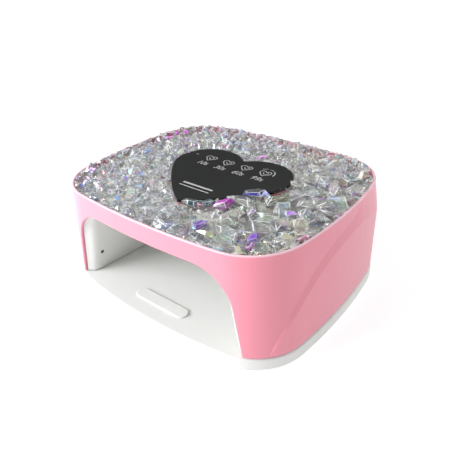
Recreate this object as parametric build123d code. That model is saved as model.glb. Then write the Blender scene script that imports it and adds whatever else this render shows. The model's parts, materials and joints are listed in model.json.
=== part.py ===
from build123d import *
from math import asin, atan2, cos, degrees, hypot, radians, sin, sqrt
from random import Random
import os

# UV LED nail lamp: a bowed, slightly tapered housing with a hand tunnel in its front, a crystal
# filled top around a heart-shaped touch panel, and a loose magnetic base tray.
# Millimetres. X is the width, -Y the hand opening, +Z up, origin at the centre of the footprint.

# ---- overall shape: plan outlines are (half width, half depth, front bow, side bow, corner) ----
FOOT_RISE = 1.5
TRAY_PLAN = (123.7, 106.6, 521.0, 470.0, 52.0)
TRAY_TOP = 12.3
STAND_TOP = 12.8
SHELL_BOTTOM = 13.1
SHELL_PLAN_LOW = (122.4, 104.3, 564.0, 502.0, 46.5)
SHELL_PLAN_HIGH = (120.0, 100.1, 654.0, 364.5, 49.0)
RIM_TOP = 99.3
WALL = 2.6
RIM_WALL = 2.2
RIM_ROUND = 1.0
LIP_ROUND = 1.0
FIT_GAP = 0.2

# ---- crystal well and heart panel ----
DECK_TOP = 91.0
DECK_THICK = 2.4
RESIN_TOP = 93.6
PLINTH_TOP = 96.0
PLINTH_INSET = 1.5
GLUE_THICK = 0.3
PANEL_TOP = 99.0
HEART_LOBE_X = 28.3
HEART_TOP_Y = 45.5
HEART_NOTCH_Y = 34.0
HEART_TIP_Y = -56.0
HEART_LOBE_R = 31.2
HEART_SIDE_R = 190.0
ICON_XS = (-30.5, -10.2, 10.2, 30.5)
ICON_Y = 22.5
ICON_WINDOW = (78.0, 15.5)
ICON_WINDOW_Y = 21.75
DISPLAY_WINDOW = (26.0, 36.0)
DISPLAY_Y = -3.0

# ---- hand opening and chamber: arches are (half width at the tray, top height, corner) ----
WALL_LEAN = 0.172
OPENING = (91.2, 83.0, 34.0)
MOUTH = (99.2, 83.4, 34.0)
CHAMBER_FRONT = (82.8, 78.0, 14.0)
CHAMBER_REAR = (69.4, 72.0, 22.0)
MOUTH_Y = -98.6
FRONT_Y = -88.0
LEVEL_Y = -66.0
REAR_Y = 70.0
THROAT_ROUND = 8.0
LINER_WALL = 2.0
CONVERGE = (CHAMBER_FRONT[0] - CHAMBER_REAR[0]) / (REAR_Y - FRONT_Y)
CHAMBER_LEVEL = (CHAMBER_REAR[0] + CONVERGE * (REAR_Y - LEVEL_Y), CHAMBER_REAR[1], CHAMBER_REAR[2])

# ---- light fittings, as distances out from the chamber's inner faces ----
LENS_R = 3.1
BOARD_OUT = 4.0
BOARD_THICK = 1.6
SCREW_HEAD = 1.4

# ---- control electronics ----
PCB_LOW = 81.0
PCB_TOP = 82.6
PCB_SIZE = (92.0, 62.0)
PCB_Y = 4.0
PCB_HOLES = ((-41, -22), (41, -22), (-41, 30), (41, 30))
DISPLAY_PINS = [(x, DISPLAY_Y + y) for x in range(-8, 9, 4) for y in (-5, 5)]

# ---- power inlet, back wall ----
JACK_Z = 26.0
JACK_SEAT_Y = 102.9
PIN_R = 1.05
PIN_ROOT_Y = 92.0
PIN_TIP_Y = 102.6

# ---- joining of housing and tray ----
MAGNET_SPOTS = ((-102, -60), (102, -60), (-102, 60), (102, 60))
MAGNET_R = 5.0
MAGNET_H = 3.0
FOOT_SPOTS = ((-90, -74), (90, -74), (-90, 74), (90, 74))
FOOT_R = 6.0
SHELL_SCREWS = [(side * x, y) for x, y in ((113, 0), (93, 80), (45, 93), (105, -72)) for side in (-1, 1)]
GRIP_PAD = (57.0, 12.4, 1.5)
GRIP_Y = -85.5

UP = (Align.CENTER, Align.CENTER, Align.MIN)
DOWN = (Align.CENTER, Align.CENTER, Align.MAX)


# ---------------------------------------------------------------- plan outlines
def circles_meet(a, ra, b, rb, side):
    """Point at ra from a and rb from b, left (1) or right (-1) of the line from a to b."""
    gap = hypot(b[0] - a[0], b[1] - a[1])
    along = (gap * gap + ra * ra - rb * rb) / (2 * gap)
    off = side * sqrt(ra * ra - along * along)
    ux, uy = (b[0] - a[0]) / gap, (b[1] - a[1]) / gap
    return a[0] + ux * along - uy * off, a[1] + uy * along + ux * off


def shrink(plan, inset):
    return tuple(value - inset for value in plan)


def shell_plan(z, inset=0.0):
    """Outline of the housing at height z, moved inwards by inset."""
    share = (z - SHELL_BOTTOM) / (RIM_TOP - SHELL_BOTTOM)
    pairs = zip(SHELL_PLAN_LOW, SHELL_PLAN_HIGH)
    return tuple(low + (high - low) * share - inset for low, high in pairs)


def corner_centre(plan):
    """Centre of the back right corner arc."""
    half_x, half_y, front_r, side_r, corner_r = plan
    back = (0, half_y - front_r)
    right = (half_x - side_r, 0)
    return circles_meet(back, front_r - corner_r, right, side_r - corner_r, -1)


def plan_point(plan, angle):
    """Point of the outline's right half where its outward normal has this angle from +X."""
    half_x, half_y, front_r, side_r, corner_r = plan
    cx, cy = corner_centre(plan)
    turn = asin(cy / (side_r - corner_r))
    if abs(angle) <= turn:
        return half_x - side_r + side_r * cos(angle), side_r * sin(angle)
    up = 1 if angle > 0 else -1
    return cx + corner_r * cos(angle), up * cy + corner_r * sin(angle)


def plan_face(plan, z):
    """Face bounded by four bowed sides and four tangent corner arcs."""
    half_x, half_y, front_r, side_r, corner_r = plan
    cx, cy = corner_centre(plan)
    turn = asin(cy / (side_r - corner_r))
    side_end = (cx + corner_r * cos(turn), cy + corner_r * sin(turn))
    lean = asin(cx / (front_r - corner_r))
    back_end = (cx + corner_r * sin(lean), cy + corner_r * cos(lean))
    middle = (turn + radians(90) - lean) / 2
    corner_mid = (cx + corner_r * cos(middle), cy + corner_r * sin(middle))
    edges = []
    for sx, sy in ((1, 1), (-1, 1), (-1, -1), (1, -1)):
        corner = [(sx * x, sy * y, z) for x, y in (side_end, corner_mid, back_end)]
        if sx * sy > 0:
            edges.append(ThreePointArc(*corner))
        else:
            edges.append(ThreePointArc(*reversed(corner)))
        x, y = back_end
        sxe, sye = side_end
        if (sx, sy) == (1, 1):
            edges.append(ThreePointArc((x, y, z), (0, half_y, z), (-x, y, z)))
        if (sx, sy) == (-1, 1):
            edges.append(ThreePointArc((-sxe, sye, z), (-half_x, 0, z), (-sxe, -sye, z)))
        if (sx, sy) == (-1, -1):
            edges.append(ThreePointArc((-x, -y, z), (0, -half_y, z), (x, -y, z)))
        if (sx, sy) == (1, -1):
            edges.append(ThreePointArc((sxe, -sye, z), (half_x, 0, z), (sxe, sye, z)))
    return Face(Wire(edges))


def skin(inset, z_low, z_high):
    """Solid housing volume between two heights, moved in from the outside by inset."""
    low = plan_face(shell_plan(z_low, inset), z_low)
    high = plan_face(shell_plan(z_high, inset), z_high)
    return loft([low, high], ruled=True)


def heart_face(inset=0.0):
    """Heart outline: a round lobe, a flatter arc to the notch and a bowed lower side, mirrored."""
    lobe = (HEART_LOBE_X, HEART_TOP_Y - HEART_LOBE_R)
    notch_drop = HEART_TOP_Y - HEART_NOTCH_Y
    notch_r = (HEART_LOBE_X ** 2 + notch_drop ** 2) / (2 * notch_drop)
    shoulder = (HEART_LOBE_X, HEART_TOP_Y - notch_r)
    tip = (0, HEART_TIP_Y)
    side_c = circles_meet(lobe, HEART_SIDE_R - HEART_LOBE_R, tip, HEART_SIDE_R, -1)
    lobe_r, notch_r, side_r = HEART_LOBE_R - inset, notch_r - inset, HEART_SIDE_R - inset
    notch = (0, shoulder[1] + sqrt(notch_r ** 2 - shoulder[0] ** 2))
    point = (0, side_c[1] - sqrt(side_r ** 2 - side_c[0] ** 2))
    leave = atan2(lobe[1] - side_c[1], lobe[0] - side_c[0])

    def on(centre, r, angle):
        return centre[0] + r * cos(angle), centre[1] + r * sin(angle)

    top = on(lobe, lobe_r, radians(90))
    from_notch = atan2(notch[1] - shoulder[1], -shoulder[0])
    to_point = atan2(point[1] - side_c[1], -side_c[0])
    half = [
        (notch, on(shoulder, notch_r, (from_notch + radians(90)) / 2), top),
        (top, on(lobe, lobe_r, (radians(90) + leave) / 2), on(lobe, lobe_r, leave)),
        (on(lobe, lobe_r, leave), on(side_c, side_r, (leave + to_point) / 2), point),
    ]
    right = [ThreePointArc(*arc) for arc in half]
    left = [ThreePointArc(*[(-x, y) for x, y in reversed(arc)]) for arc in reversed(half)]
    return Face(Wire(right + left))


def heart_solid(inset, z_low, z_high):
    return extrude(Pos(0, 0, z_low) * heart_face(inset), z_high - z_low, dir=(0, 0, 1))


# ---------------------------------------------------------------- arches of the hand tunnel
def arch_face(arch, y, grow=0.0):
    """Upright arch at depth y: leaning sides, flat top, rounded upper corners."""
    half, top, corner_r = arch
    low = SHELL_BOTTOM - 3.0
    half_low = half + grow + WALL_LEAN * (SHELL_BOTTOM - low)
    half_top = half + grow - WALL_LEAN * (top + grow - SHELL_BOTTOM)
    corners = [(-half_low, low), (half_low, low), (half_top, top + grow), (-half_top, top + grow)]
    outline = make_face(Polyline(*corners, close=True))
    outline = fillet(outline.vertices().sort_by(Axis.Y)[-2:], corner_r + grow)
    return Plane.XZ.offset(-y) * outline


def tunnel(front, front_y, rear, rear_y, grow=0.0):
    return loft([arch_face(front, front_y, grow), arch_face(rear, rear_y, grow)], ruled=True)


def hand_space():
    """Everything the hand tunnel leaves empty, from in front of the lamp to the rear wall."""
    space = extrude(arch_face(MOUTH, MOUTH_Y), 20) + tunnel(MOUTH, MOUTH_Y, CHAMBER_FRONT, FRONT_Y)
    space += tunnel(CHAMBER_FRONT, FRONT_Y, CHAMBER_LEVEL, LEVEL_Y)
    space += tunnel(CHAMBER_LEVEL, LEVEL_Y, CHAMBER_REAR, REAR_Y)
    throat = [e for e in space.edges() if abs((e @ 0.5).Y - FRONT_Y) < 0.01 and (e @ 0.5).Z > SHELL_BOTTOM]
    return fillet(throat, THROAT_ROUND)


# ---------------------------------------------------------------- small repeated shapes
def at(spots, z, shape):
    return [Pos(x, y, z) * shape for x, y in spots]


def cylinder_up(radius, z_low, z_high):
    return Pos(0, 0, z_low) * Cylinder(radius, z_high - z_low, align=UP)


def block(size_x, size_y, z_low, z_high):
    return Pos(0, 0, z_low) * Box(size_x, size_y, z_high - z_low, align=UP)


def pan_screw(shank_r, length, head_r, head_h):
    """Screw with its head above the origin and its shank below it, cross slot in the head."""
    head = fillet(Cylinder(head_r, head_h, align=UP).edges().group_by(Axis.Z)[-1], head_h * 0.35)
    slot = Pos(0, 0, head_h) * Box(head_r * 1.2, 0.5, head_h, align=(Align.CENTER,) * 3)
    shank = Cylinder(shank_r, length, align=DOWN)
    shank = chamfer(shank.edges().group_by(Axis.Z)[0], shank_r * 0.5)
    return head - slot - Rot(0, 0, 90) * slot + shank


def panel_windows(z_low, z_high):
    """Cut-outs under the panel: a wide one for the icon lights, a square one for the digits."""
    icons = Pos(0, ICON_WINDOW_Y) * block(*ICON_WINDOW, z_low, z_high)
    return icons + Pos(0, DISPLAY_Y) * block(*DISPLAY_WINDOW, z_low, z_high)


# ---------------------------------------------------------------- housing shell
CREASE_DEPTH = ((-84.5, -0.4), (-80, 1.0), (-45, 1.5), (0, 1.8), (40, 2.6), (72, 2.6), (93, -0.4))
CREASE_FOOT = ((-84.5, -0.4), (-78, 0.3), (60, 0.3), (80, -0.4))


def between(knots, value):
    """Straight-line interpolation through (position, value) knots."""
    for (x0, v0), (x1, v1) in zip(knots, knots[1:]):
        if value <= x1:
            return v0 + (v1 - v0) * max(0.0, value - x0) / (x1 - x0)
    return knots[-1][1]


def bezier(points, t):
    a, b, c, d = points
    u = 1 - t
    return a * u ** 3 + 3 * b * u * u * t + 3 * c * u * t * t + d * t ** 3


def ridge_height(y):
    """Height of the side crease's ridge: steep at the front corner, level, then falling away."""
    bend_y, bend_z = (-84.5, -67, -30, 20), (10, 56, 80, 79.5)
    if y > bend_y[-1]:
        return bend_z[-1] - 7.4 * ((y - bend_y[-1]) / 44) ** 2
    low, high = 0.0, 1.0
    for _ in range(30):
        mid = (low + high) / 2
        if bezier(bend_y, mid) < y:
            low = mid
        else:
            high = mid
    return max(bezier(bend_z, low), SHELL_BOTTOM + 0.6)


def facet_height(y):
    """Upper edge of the facet above the ridge: narrow in front, widening back to meet the rim."""
    rise = 9.0 - 5.0 * min(1.0, max(0.0, (-60 - y) / 18)) + 11.0 * max(0.0, (y - 5) / 24) ** 2
    return min(ridge_height(y) + rise, RIM_TOP - 1.6)


def crease_section(angle):
    """Upright five-sided section of the raised side panel, square to the wall."""
    ridge = SHELL_BOTTOM
    for _ in range(6):
        ridge = ridge_height(plan_point(shell_plan(ridge), angle)[1])
    y = plan_point(shell_plan(ridge), angle)[1]
    top = facet_height(y)
    profile = [
        (-1.8, SHELL_BOTTOM),
        (between(CREASE_FOOT, y), SHELL_BOTTOM),
        (between(CREASE_DEPTH, y), ridge),
        (-0.12, top),
        (-1.8, top),
    ]
    out = Vector(cos(angle), sin(angle))
    beside = Vector(-sin(angle), cos(angle))
    shift = beside * beside.dot(Vector(*plan_point(shell_plan(ridge), angle)))
    points = []
    for proud, z in profile:
        reach = out.dot(Vector(*plan_point(shell_plan(z), angle))) + proud
        points.append(out * reach + shift + Vector(0, 0, z))
    return Face(Wire.make_polygon(points, close=True))


def side_crease():
    corner_turns = range(10, 62, 5)
    angles = [-radians(a) for a in reversed(corner_turns)]
    angles += [asin(y / SHELL_PLAN_HIGH[3]) for y in range(-48, 49, 12)]
    angles += [radians(a) for a in range(10, 71, 5)]
    return loft([crease_section(a) for a in angles], ruled=True)


def screw_bosses():
    bosses = []
    for x, y in SHELL_SCREWS:
        reach = hypot(x, y)
        turn = degrees(atan2(y, x))
        bosses.append(Pos(x, y, 0) * cylinder_up(4.2, 17.1, 38))
        web = Box(14, 2.4, 20.9, align=(Align.MIN, Align.CENTER, Align.MIN))
        if abs(y) > 90:
            turn = 90 if y > 0 else -90
        bosses.append(Pos(x, y, 17.1) * Rot(0, 0, turn) * web)
    return Part() + bosses


def on_opening_lip(edge, core):
    """Whether an edge is part of the hand opening's outer rim, above the tray."""
    middle = edge @ 0.5
    in_front = middle.Y < -90 and abs(middle.X) < 95 and 20 < middle.Z < OPENING[1] + 1
    return in_front and edge.length > 5 and not core.is_inside(middle)


def outer_shell():
    crease = side_crease()
    body = skin(0, SHELL_BOTTOM, RIM_TOP)
    body = fillet(body.edges().group_by(Axis.Z)[-1], RIM_ROUND)
    body = body + crease + mirror(crease, Plane.YZ)
    hollow = skin(WALL, SHELL_BOTTOM - 1, DECK_TOP - DECK_THICK)
    well = skin(RIM_WALL, DECK_TOP, RIM_TOP + 1) - heart_solid(PLINTH_INSET, DECK_TOP - 1, PLINTH_TOP)
    body = body - hollow - well
    core = skin(RIM_ROUND + 0.5, SHELL_BOTTOM - 1, RIM_TOP + 1)
    inner_rim = [e for e in body.edges() if (e @ 0.5).Z > RIM_TOP - 0.01 and core.is_inside(e @ 0.5)]
    body = fillet(inner_rim, RIM_ROUND * 0.7)
    body -= extrude(arch_face(OPENING, -60), 70)
    body = fillet([e for e in body.edges() if on_opening_lip(e, core)], LIP_ROUND)
    body -= panel_windows(DECK_TOP - 4, PLINTH_TOP + 1)
    lugs = screw_bosses() & skin(1.0, SHELL_BOTTOM, 60)
    lugs -= extrude(arch_face(CHAMBER_FRONT, 110, 6), 220)
    posts = Part() + at(PCB_HOLES, 0, cylinder_up(3.2, PCB_TOP, DECK_TOP - DECK_THICK + 0.5))
    body = body + lugs + posts
    body -= at(SHELL_SCREWS, 0, cylinder_up(1.35, 17, 33))
    body -= at(PCB_HOLES, 0, cylinder_up(1.05, PCB_TOP - 1, 89))
    jack_way = Pos(0, 0, JACK_Z) * Rot(-90, 0, 0)
    body += (jack_way * cylinder_up(9, 99, 106)) & skin(0.8, SHELL_BOTTOM, 60)
    body -= jack_way * cylinder_up(4.1, 95, 108)
    body -= jack_way * cylinder_up(6.0, JACK_SEAT_Y, 108)
    for i in range(9):
        body -= Pos(-40 + 10 * i, 100, 58) * Box(2.6, 20, 18)
    return body


# ---------------------------------------------------------------- crystals and heart panel
def inside_plan(x, y, plan):
    """Whether a point lies inside a bowed outline."""
    half_x, half_y, front_r, side_r, corner_r = plan
    x, y = abs(x), abs(y)
    cx, cy = corner_centre(plan)
    in_bows = hypot(x, y + front_r - half_y) < front_r and hypot(x + side_r - half_x, y) < side_r
    in_corner = x < cx or y < cy or hypot(x - cx, y - cy) < corner_r
    return in_bows and in_corner


def crystal(rng, radius, height):
    """One irregular chunk: a flat many-cornered foot under a tilted ridge."""
    sides = rng.randint(4, 6)
    start = rng.uniform(0, 360)
    points = []
    for i in range(sides):
        a = radians(start + 360 * (i + rng.uniform(-0.2, 0.2)) / sides)
        foot = radius * rng.uniform(0.6, 0.85)
        points.append((foot * cos(a), foot * sin(a), 0))
        points.append((radius * cos(a + 0.4), radius * sin(a + 0.4), height * rng.uniform(0.3, 0.55)))
    tilt = radians(rng.uniform(0, 360))
    for share, drop in ((0.55, 1.0), (-0.5, rng.uniform(0.8, 0.95)), (0.05, rng.uniform(0.8, 1.0))):
        a = tilt + rng.uniform(-0.4, 0.4)
        points.append((share * radius * cos(a), share * radius * sin(a), height * drop))
    return ConvexPolyhedron(points)


def scatter_crystals():
    """Chunks thrown into the well without touching: big ones round the heart's tip, then smaller."""
    rng = Random(7)
    heart = heart_face()
    placed = []
    groups = {"large": [], "small": []}
    throws = [("large", 11.5, 9.0, 12.2, 900, -22)] + [("small", 6.4, 6.6, 9.6, 2600, 200)]
    throws += [("small", 4.6, 5.6, 8.2, 2600, 200)]
    for group, radius, low, high, tries, y_limit in throws:
        room = shell_plan(RESIN_TOP, RIM_WALL + 0.5 + radius)
        for _ in range(tries):
            x, y = rng.uniform(-120, 120), rng.uniform(-102, min(102, y_limit))
            if not inside_plan(x, y, room):
                continue
            if any(hypot(x - px, y - py) < radius + pr + 0.3 for px, py, pr in placed):
                continue
            if Vertex(x, y, 0).distance_to(heart) < radius + 0.4:
                continue
            placed.append((x, y, radius))
            chunk = crystal(rng, radius, rng.uniform(low, high))
            groups[group].append(Pos(x, y, RESIN_TOP) * chunk)
    return groups


def crystal_bed():
    """Clear resin that holds the crystals, round the plinth."""
    return skin(RIM_WALL + 0.1, DECK_TOP, RESIN_TOP) - heart_solid(PLINTH_INSET - 0.1, DECK_TOP - 1, 95)


def heart_panel():
    plate = heart_solid(0, PLINTH_TOP + GLUE_THICK, PANEL_TOP)
    return fillet(plate.faces().sort_by(Axis.Z)[-1].edges(), 0.6)


def panel_glue():
    glue = heart_solid(PLINTH_INSET, PLINTH_TOP, PLINTH_TOP + GLUE_THICK)
    return glue - panel_windows(PLINTH_TOP - 1, PANEL_TOP)


# ---------------------------------------------------------------- light walls of the chamber
def side_wall_x(y, z):
    """Distance of a side wall's inner face from the middle."""
    return CHAMBER_FRONT[0] - CONVERGE * (y - FRONT_Y) - WALL_LEAN * (z - SHELL_BOTTOM)


def side_place(side, y, z):
    """Frame on the inner face of a side wall: x runs back or forth, y up the wall, z outwards."""
    along = Vector(-CONVERGE, side, 0)
    outwards = Vector(side, CONVERGE, WALL_LEAN)
    return Plane((side * side_wall_x(y, z), y, z), x_dir=along, z_dir=outwards)


BACK_PLACE = Plane((0, REAR_Y, 38), x_dir=(-1, 0, 0), z_dir=(0, 1, 0))
SIDE_COLUMNS = (-45, -15, 15, 45)
LIGHT_WALLS = {
    "top": (Plane((0, 0, CHAMBER_REAR[1])), (-28, 0, 28), (-52, -26, 0, 26, 52), (78, 126)),
    "right": (side_place(1, 8, 37), SIDE_COLUMNS, (-8, 8), (122, 31)),
    "left": (side_place(-1, 8, 37), SIDE_COLUMNS, (-8, 8), (122, 31)),
    "back": (BACK_PLACE, range(-44, 45, 22), (0,), (110, 22)),
}


def light_spots(wall):
    place, columns, rows, _ = LIGHT_WALLS[wall]
    return [place.location * Pos(u, v, 0) for u in columns for v in rows]


def board_holes(wall):
    place, _, _, (width, height) = LIGHT_WALLS[wall]
    spots = [(sx * (width / 2 - 5), sy * (height / 2 - 5)) for sx in (-1, 1) for sy in (-1, 1)]
    return [place.location * Pos(u, v, 0) for u, v in spots]


def led_board(wall):
    place, _, _, (width, height) = LIGHT_WALLS[wall]
    board = extrude(RectangleRounded(width, height, 2), BOARD_THICK)
    board = place.location * Pos(0, 0, BOARD_OUT) * board
    hole = cylinder_up(1.3, BOARD_OUT - 1, BOARD_OUT + BOARD_THICK + 1)
    return board - [spot * hole for spot in board_holes(wall)]


def led_lens():
    """Domed lens with a flange that sits behind the wall; the dome looks into the chamber."""
    dome_rise = 2.0
    ball_r = (LENS_R ** 2 + dome_rise ** 2) / (2 * dome_rise)
    ball = Pos(0, 0, ball_r - dome_rise - 0.2) * Sphere(ball_r)
    nose = (cylinder_up(LENS_R, -dome_rise - 1, 2.5) & ball) + cylinder_up(LENS_R, 0.5, 2.5)
    return nose + cylinder_up(4.4, 2.2, 3.0)


def led_chip():
    base = block(5, 5, 3.0, BOARD_OUT)
    return base - block(2.4, 2.4, 2.9, 3.3)


def group_of(shape, spots):
    return Compound(children=[spot * shape for spot in spots])


# ---------------------------------------------------------------- white inner liner
SENSOR_Y = -81.2
SENSOR_Z = 31.6


def sensor_place(side):
    return side_place(side, SENSOR_Y, SENSOR_Z).location


def inner_liner():
    inside = WALL + FIT_GAP
    room = skin(inside, SHELL_BOTTOM, 86)
    body = tunnel(CHAMBER_LEVEL, LEVEL_Y, CHAMBER_REAR, REAR_Y + LINER_WALL, LINER_WALL) & room
    body += tunnel(CHAMBER_FRONT, FRONT_Y, CHAMBER_LEVEL, LEVEL_Y, LINER_WALL) & room
    body += tunnel(MOUTH, MOUTH_Y, CHAMBER_FRONT, FRONT_Y, LINER_WALL) & room
    body += (room - skin(inside + 2, SHELL_BOTTOM - 1, 87)) & extrude(arch_face(OPENING, -70, 5), 60)
    body += room & block(300, 300, SHELL_BOTTOM, SHELL_BOTTOM + 2.2)
    pads = Part() + at(SHELL_SCREWS, 0, cylinder_up(5, SHELL_BOTTOM, 17.1))
    pads += at(MAGNET_SPOTS, 0, cylinder_up(7, SHELL_BOTTOM, 18.1))
    body += pads & room
    bosses = []
    for wall in LIGHT_WALLS:
        bosses += [spot * cylinder_up(2.8, 1, BOARD_OUT) for spot in board_holes(wall)]
    for side in (-1, 1):
        bosses += [sensor_place(side) * Pos(0, v, 0) * cylinder_up(1.6, 1, 6) for v in (-5, 5)]
    body += bosses
    body -= hand_space()
    for wall in LIGHT_WALLS:
        body -= [spot * cylinder_up(LENS_R + 0.25, -2, 2.5) for spot in light_spots(wall)]
        body -= [spot * cylinder_up(1.05, 0.9, 6) for spot in board_holes(wall)]
    body -= [sensor_place(side) * cylinder_up(1.9, -2, 3) for side in (-1, 1)]
    body -= at(SHELL_SCREWS, 0, cylinder_up(1.7, 10, 20))
    body -= at(SHELL_SCREWS, 0, cylinder_up(3.4, 10, SHELL_BOTTOM + 2))
    body -= at(MAGNET_SPOTS, 0, cylinder_up(MAGNET_R + 0.05, 10, SHELL_BOTTOM + MAGNET_H))
    return body


def sensor(side):
    """Small dark optical sensor that looks across the mouth of the tunnel."""
    nose = fillet(cylinder_up(1.7, 0.3, 2.6).edges().group_by(Axis.Z)[0], 0.8)
    return sensor_place(side) * (nose + cylinder_up(2.5, 2.6, 6))


def sensor_boards():
    board = block(9, 14, 6, 7.2)
    return Compound(children=[sensor_place(side) * board for side in (-1, 1)])


# ---------------------------------------------------------------- control electronics
def control_board():
    board = Pos(0, PCB_Y, PCB_LOW) * extrude(RectangleRounded(*PCB_SIZE, 3), PCB_TOP - PCB_LOW)
    return board - at(PCB_HOLES, 0, cylinder_up(1.4, PCB_LOW - 1, PCB_TOP + 1))


def touch_spring():
    """Coil that carries the touch signal from the board up to the panel."""
    wire_r, coil_r, turns = 0.35, 3.5, 5
    low, high = PCB_TOP + wire_r, PLINTH_TOP + GLUE_THICK - wire_r
    coil = Helix((high - low) / turns, high - low, coil_r)
    end = Plane(origin=coil @ 0, z_dir=coil % 0)
    return Pos(0, 0, low) * sweep(end * Circle(wire_r), path=coil)


def control_chips():
    spots = (((-24, -8), (9, 9)), ((-24, -22), (6, 5)), ((24, -6), (7, 6)), ((25, -20), (8, 8)))
    return [Pos(x, y) * block(w, d, PCB_TOP, PCB_TOP + 1.6) for (x, y), (w, d) in spots]


def capacitors():
    can = fillet(Cylinder(2.5, 9, rotation=(90, 0, 0)).edges(), 0.5)
    return [Pos(x, -11, PCB_TOP + 2.5) * can for x in (-38.5, -32)]


def inductors():
    core = fillet(block(8, 8, PCB_TOP, PCB_TOP + 4.4).edges().filter_by(Axis.Z), 1.6)
    return [Pos(x, 4) * core for x in (-30, 30)]


def light_baffle():
    """Dark block that keeps each icon's light in its own well, on four legs."""
    length, width = ICON_WINDOW
    body = Pos(0, ICON_WINDOW_Y) * block(length - 0.6, width - 0.6, 92.5, PLINTH_TOP - 0.1)
    body -= [Pos(x, ICON_Y) * cylinder_up(5.2, 90, 98) for x in ICON_XS]
    return body + [Pos(x, y) * cylinder_up(1.1, PCB_TOP, 93) for x in (-37, 37) for y in (16, 27.5)]


def wires(radius, corner_r, *routes):
    """Round leads, each along straight runs joined by arcs."""
    leads = []
    for route in routes:
        path = FilletPolyline(*route, radius=corner_r)
        start = Plane(origin=path @ 0, z_dir=path % 0)
        leads.append(sweep(start * Circle(radius), path=path))
    return Compound(children=leads)


def power_lead_routes():
    return [[(x, 84, JACK_Z + 1.3), (x, 84, 85), (x, 35, 85)] for x in (-2.5, 2.5)]


def led_lead_routes():
    across = 85.0
    routes = []
    for side in (-1, 1):
        for y in (2.8, 5.2):
            top, turn, end = side * 45.2, side * 92, side * 79.8
            routes.append([(top, y, across), (turn, y, across), (turn, y, 44), (end, y, 44)])
    for x in (22.8, 25.2):
        routes.append([(x, 35.2, across), (x, 88, across), (x, 88, 42), (x, 79.8, 42)])
    return routes


def headers():
    """Plug-in wire headers on the control board and on the lit boards."""
    shapes = [Pos(side * 42.7, 4) * block(5, 9, PCB_TOP, 87.6) for side in (-1, 1)]
    shapes.append(Pos(24, 32.7) * block(9, 5, PCB_TOP, 87.6))
    for side in (-1, 1):
        shapes.append(Pos(side * (side_wall_x(0, 44) + 7.9), 4, 44) * Box(3.6, 9, 5))
    shapes.append(Pos(24, REAR_Y + BOARD_OUT + BOARD_THICK + 2, 42) * Box(9, 4, 5))
    return shapes


# ---------------------------------------------------------------- power inlet
def to_back(shape):
    """Lays a shape that was made along +Z out along +Y at the inlet."""
    return Pos(0, 0, JACK_Z) * Rot(-90, 0, 0) * shape


def jack_body():
    body = cylinder_up(4.0, 86, JACK_SEAT_Y) + cylinder_up(5.5, JACK_SEAT_Y, JACK_SEAT_Y + 1.2)
    body -= cylinder_up(2.8, PIN_ROOT_Y, 110)
    body -= cylinder_up(0.82, 84, 95)
    tabs = [Pos(x, 0) * block(1.8, 0.6, 81, 86.5) for x in (-2.5, 2.5)]
    return to_back(body + tabs)


def jack_pin():
    pin = cylinder_up(PIN_R, PIN_ROOT_Y, PIN_TIP_Y)
    pin = fillet(pin.edges().group_by(Axis.Z)[-1], 0.45)
    return to_back(pin + cylinder_up(0.8, 86.2, PIN_ROOT_Y))


def jack_nut():
    nut = Pos(0, 0, 96.4) * extrude(RegularPolygon(6.2, 6), 2.5)
    return to_back(nut - cylinder_up(4.03, 90, 100))


# ---------------------------------------------------------------- tray
def base_tray():
    """Loose floor of the lamp: rounded slab, hollow below with ribs, raised grip pad in front."""
    slab = extrude(plan_face(TRAY_PLAN, FOOT_RISE), TRAY_TOP - FOOT_RISE)
    slab = fillet(slab.edges().group_by(Axis.Z)[-1], 2.4)
    slab = fillet(slab.edges().group_by(Axis.Z)[0], 0.8)
    pocket = extrude(plan_face(shrink(TRAY_PLAN, 2.8), FOOT_RISE - 1), TRAY_TOP - 2.4 - FOOT_RISE + 1)
    ribs = [Pos(0, y) * block(300, 1.4, 3, 10) for y in (-60, -20, 20, 60)]
    ribs += [Pos(x, 0) * block(1.4, 300, 3, 10) for x in (-60, -20, 20, 60)]
    stands = at(FOOT_SPOTS, 0, cylinder_up(8, 2, 10)) + at(MAGNET_SPOTS, 0, cylinder_up(7, 7, 10))
    body = slab - (pocket - (Part() + ribs + stands))
    length, width, rise = GRIP_PAD
    pad = extrude(Pos(0, GRIP_Y, TRAY_TOP - 1) * SlotOverall(length, width), rise + 1)
    body += fillet(pad.edges().group_by(Axis.Z)[-1], 1.1)
    body += at(MAGNET_SPOTS, 0, cylinder_up(7, 12, STAND_TOP))
    body -= at(MAGNET_SPOTS, 0, cylinder_up(MAGNET_R + 0.05, STAND_TOP - MAGNET_H, 14))
    return body - at(FOOT_SPOTS, 0, cylinder_up(FOOT_R + 0.1, 0, 3.6))


def rubber_foot():
    return chamfer(cylinder_up(FOOT_R, 0, 3.6).edges().group_by(Axis.Z)[0], 0.5)


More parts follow.
